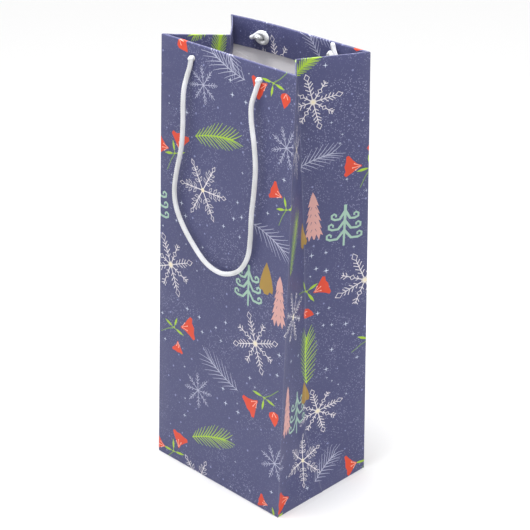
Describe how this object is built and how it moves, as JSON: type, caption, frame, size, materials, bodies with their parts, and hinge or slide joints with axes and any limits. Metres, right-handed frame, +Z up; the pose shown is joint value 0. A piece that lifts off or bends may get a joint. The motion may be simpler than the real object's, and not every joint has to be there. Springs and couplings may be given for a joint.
{
  "type": "wine gift bag",
  "caption": "Tall printed paper gift bag for a wine bottle, with side gussets, a turned-in top hem, a base board and knotted cord handles that swing.",
  "frame": {"origin": "middle of the base, on the surface that the bag stands on", "axes": "+Z up to the mouth, +X across the wide panels, the front panel faces -Y"},
  "size_m": [0.12, 0.088, 0.3089],
  "materials": {
    "printed_paper": "satin printed paper, slate blue with winter flowers and trees, white on the back",
    "grey_card": "uncoated grey card",
    "white_board": "matte white board",
    "twisted_cord": "matte off-white twisted cord"
  },
  "bodies": {
    "bag": {"front_panel": "printed_paper", "back_panel": "printed_paper", "right_gusset_front": "printed_paper", "right_gusset_back": "printed_paper", "left_gusset_front": "printed_paper", "left_gusset_back": "printed_paper", "right_gusset_foot": "printed_paper", "left_gusset_foot": "printed_paper", "front_hem": "printed_paper", "back_hem": "printed_paper", "right_hem_front": "printed_paper", "right_hem_back": "printed_paper", "left_hem_front": "printed_paper", "left_hem_back": "printed_paper", "glue_seam_tab": "printed_paper", "base_flap_front": "printed_paper", "base_flap_back": "printed_paper", "dust_flap_right": "printed_paper", "dust_flap_left": "printed_paper", "front_top_card": "grey_card", "back_top_card": "grey_card", "base_board": "white_board", "front_knot_left": "twisted_cord", "front_knot_right": "twisted_cord", "back_knot_left": "twisted_cord", "back_knot_right": "twisted_cord"},
    "front_handle": {"front_handle_cord": "twisted_cord"},
    "back_handle": {"back_handle_cord": "twisted_cord"}
  },
  "joints": [
    {"name": "front_handle_swing", "type": "hinge", "parent": "bag", "child": "front_handle", "pos_m": [0, -0.03413, 0.29914], "axis": [-1, 0, 0], "range_deg": [0, 175]},
    {"name": "back_handle_swing", "type": "hinge", "parent": "bag", "child": "back_handle", "pos_m": [0, 0.03723, 0.29923], "axis": [1, 0, 0], "range_deg": [0, 175]}
  ]
}
